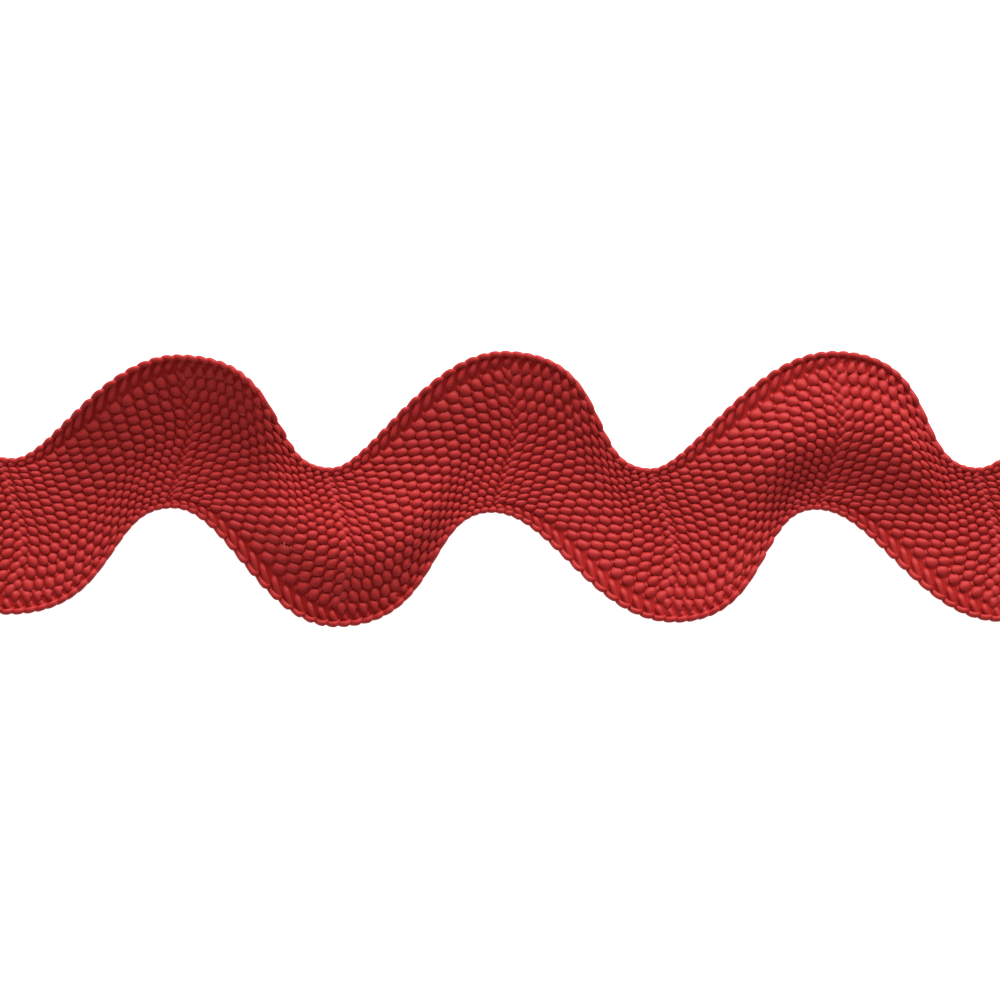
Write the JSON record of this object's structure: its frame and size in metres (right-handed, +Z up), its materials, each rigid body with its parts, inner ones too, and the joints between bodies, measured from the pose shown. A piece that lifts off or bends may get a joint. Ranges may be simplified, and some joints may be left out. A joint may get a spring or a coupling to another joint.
{
  "type": "length of ric rac trim",
  "caption": "Cut length of wide wavy braided ric rac trim in red polyester yarn, lying flat face up.",
  "frame": {"origin": "middle of the band's box, on the surface that the band lies on", "axes": "+X along the braid, +Y across its waves towards the upper selvedge, +Z up out of its face"},
  "size_m": [0.18, 0.038, 0.0063],
  "materials": {
    "red_yarn": "lustrous red polyester yarn, tightly braided"
  },
  "bodies": {
    "root": {"ric_rac_band": "red_yarn"}
  },
  "joints": []
}
